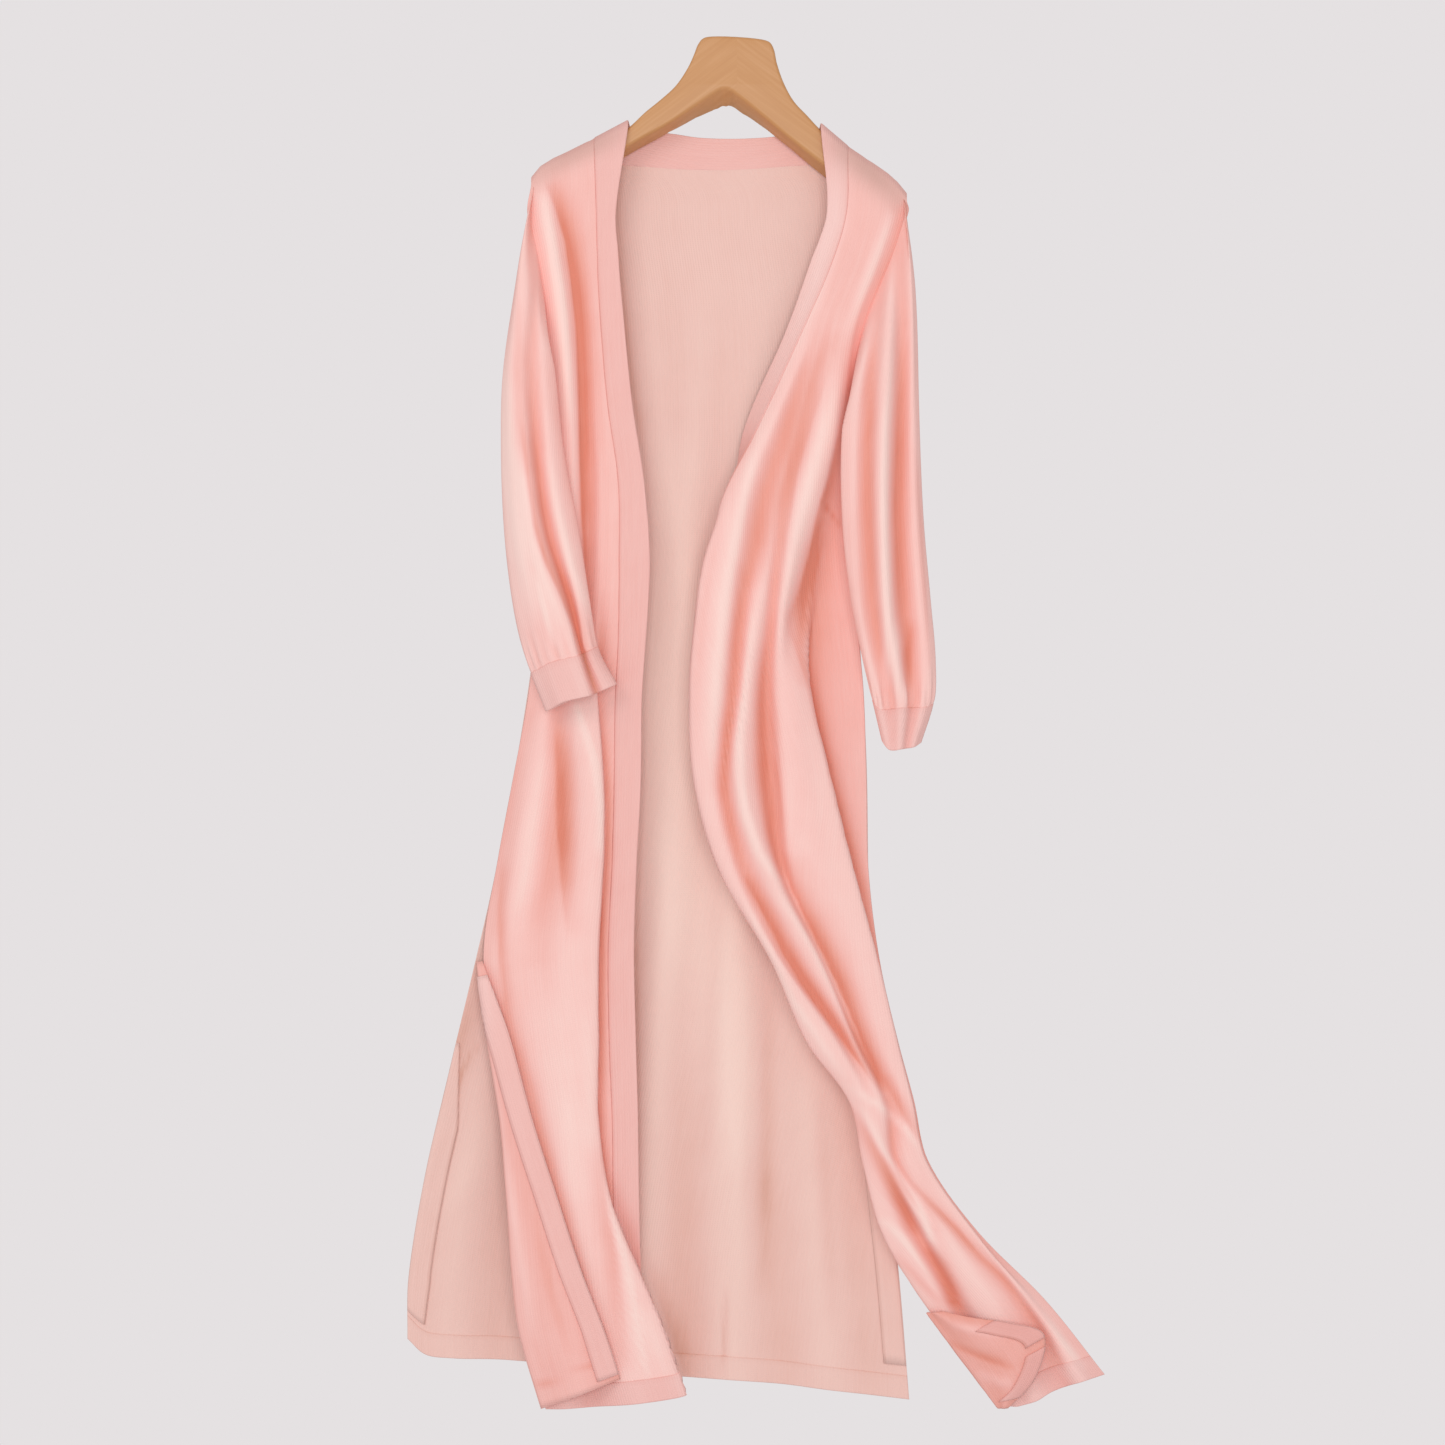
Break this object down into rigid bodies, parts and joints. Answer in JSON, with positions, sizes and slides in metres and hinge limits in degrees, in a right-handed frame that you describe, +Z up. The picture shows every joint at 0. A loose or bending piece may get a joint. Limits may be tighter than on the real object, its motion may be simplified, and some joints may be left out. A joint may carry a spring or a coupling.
{
  "type": "duster cardigan on a wooden hanger",
  "caption": "Long open-front knitted cardigan with bands, cuffs, side slits and a turned-up corner, hung on a plain wooden hanger.",
  "frame": {"origin": "middle of the flat top of the hanger's neck, where the hook screws in", "axes": "+Z up along the garment's length, +X to the viewer's right, -Y towards the viewer (the garment's front)"},
  "size_m": [0.6987, 0.0705, 1.3721],
  "materials": {
    "knit": "fine sheer pink knit",
    "doubled_knit": "doubled pink knit",
    "hanger_wood": "satin varnish"
  },
  "bodies": {
    "root": {"hanger": "hanger_wood", "back": "knit", "hem_back": "doubled_knit", "facing_back_left": "doubled_knit", "facing_back_right": "doubled_knit", "neck_band": "doubled_knit", "front_left": "knit", "hem_front_left": "doubled_knit", "band_left": "doubled_knit", "front_right": "knit", "hem_front_right": "doubled_knit", "band_right": "doubled_knit", "sleeve_left": "knit", "cuff_left": "doubled_knit", "sleeve_right": "knit", "cuff_right": "doubled_knit", "flap_left": "knit", "facing_flap_left": "doubled_knit", "flap_right": "knit", "band_flap_right": "doubled_knit", "hem_flap_right": "doubled_knit"}
  },
  "joints": []
}
